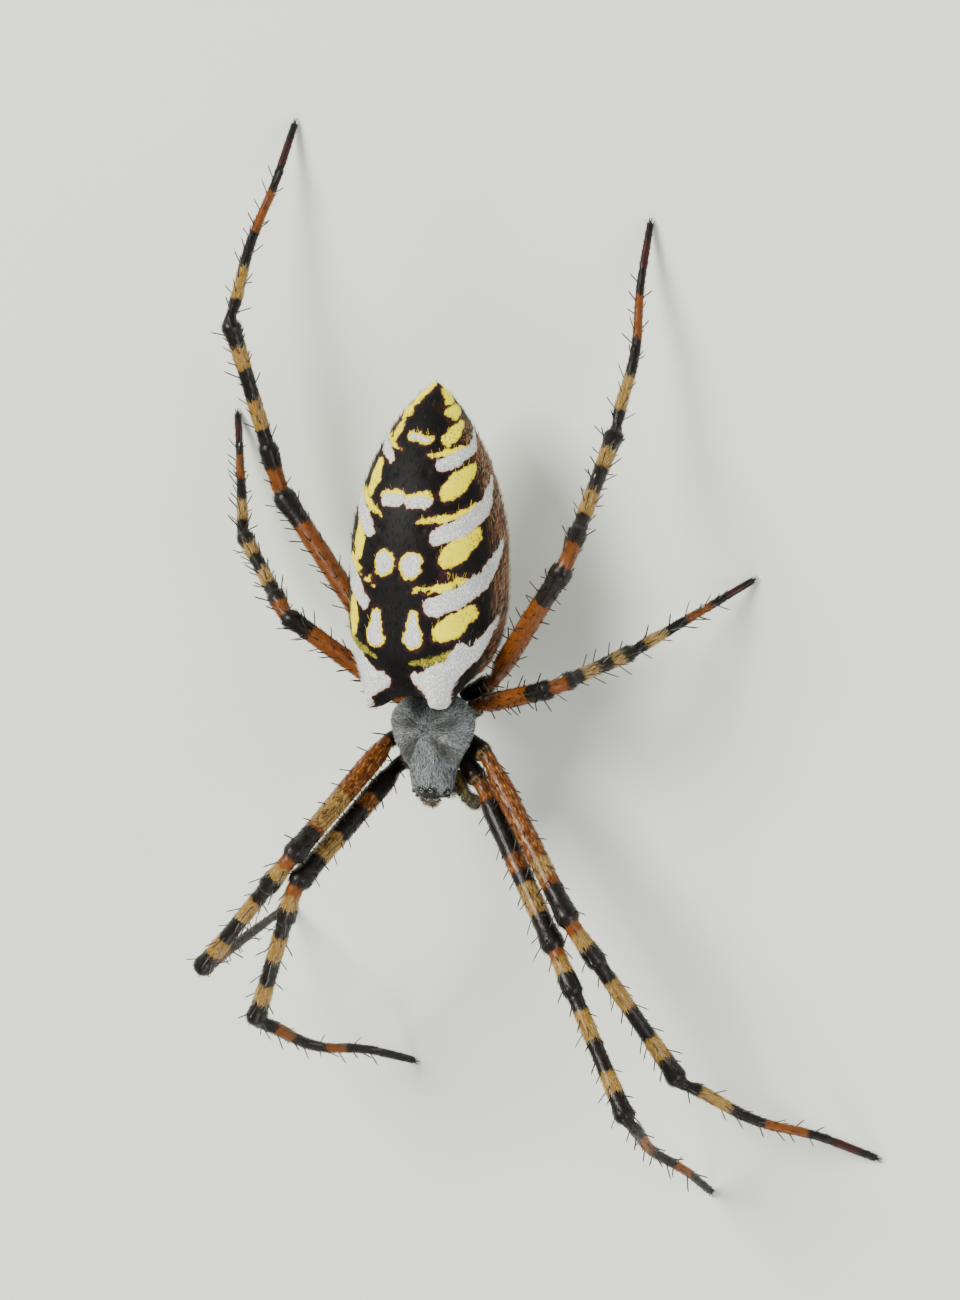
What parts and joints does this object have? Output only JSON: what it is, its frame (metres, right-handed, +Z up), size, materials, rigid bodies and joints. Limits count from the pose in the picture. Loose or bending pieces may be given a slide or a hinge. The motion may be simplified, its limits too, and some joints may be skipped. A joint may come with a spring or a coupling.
{
  "type": "garden spider",
  "caption": "Life-size adult female garden spider with a yellow, silver and black abdomen and banded legs, standing on its leg tips with its legs spread.",
  "frame": {"origin": "middle of the bounding box, on the floor under the spider", "axes": "+X is the spider's left, +Y runs from the head to the tail, +Z is up from the floor"},
  "size_m": [0.0412, 0.0616, 0.0163],
  "materials": {
    "silver_hair": "matte coat of fine silver hair over shell",
    "dark_shell": "glossy dark shell",
    "abdomen_skin": "soft skin, black with yellow and silver patches, slightly glossy",
    "leg_shell": "glossy shell banded orange, black and yellow, with sparse hairs",
    "eye": "wet-looking, high gloss",
    "palp_shell": "satin olive shell"
  },
  "bodies": {
    "root": {"abdomen": "abdomen_skin", "carapace": "silver_hair", "chelicera_left": "dark_shell", "chelicera_right": "dark_shell", "eye_front_middle_left": "eye", "eye_front_middle_right": "eye", "eye_front_side_left": "eye", "eye_front_side_right": "eye", "eye_rear_middle_left": "eye", "eye_rear_middle_right": "eye", "eye_rear_side_left": "eye", "eye_rear_side_right": "eye", "leg_left_1_coxa": "leg_shell", "leg_left_1_femur": "leg_shell", "leg_left_1_foot": "leg_shell", "leg_left_1_patella": "leg_shell", "leg_left_1_tibia": "leg_shell", "leg_left_2_coxa": "leg_shell", "leg_left_2_femur": "leg_shell", "leg_left_2_foot": "leg_shell", "leg_left_2_patella": "leg_shell", "leg_left_2_tibia": "leg_shell", "leg_left_3_coxa": "leg_shell", "leg_left_3_femur": "leg_shell", "leg_left_3_foot": "leg_shell", "leg_left_3_patella": "leg_shell", "leg_left_3_tibia": "leg_shell", "leg_left_4_coxa": "leg_shell", "leg_left_4_femur": "leg_shell", "leg_left_4_foot": "leg_shell", "leg_left_4_patella": "leg_shell", "leg_left_4_tibia": "leg_shell", "leg_right_1_coxa": "leg_shell", "leg_right_1_femur": "leg_shell", "leg_right_1_foot": "leg_shell", "leg_right_1_patella": "leg_shell", "leg_right_1_tibia": "leg_shell", "leg_right_2_coxa": "leg_shell", "leg_right_2_femur": "leg_shell", "leg_right_2_foot": "leg_shell", "leg_right_2_patella": "leg_shell", "leg_right_2_tibia": "leg_shell", "leg_right_3_coxa": "leg_shell", "leg_right_3_femur": "leg_shell", "leg_right_3_foot": "leg_shell", "leg_right_3_patella": "leg_shell", "leg_right_3_tibia": "leg_shell", "leg_right_4_coxa": "leg_shell", "leg_right_4_femur": "leg_shell", "leg_right_4_foot": "leg_shell", "leg_right_4_patella": "leg_shell", "leg_right_4_tibia": "leg_shell", "palp_left": "palp_shell", "palp_right": "palp_shell", "pedicel": "dark_shell", "spinnerets": "dark_shell", "sternum": "dark_shell"}
  },
  "joints": []
}
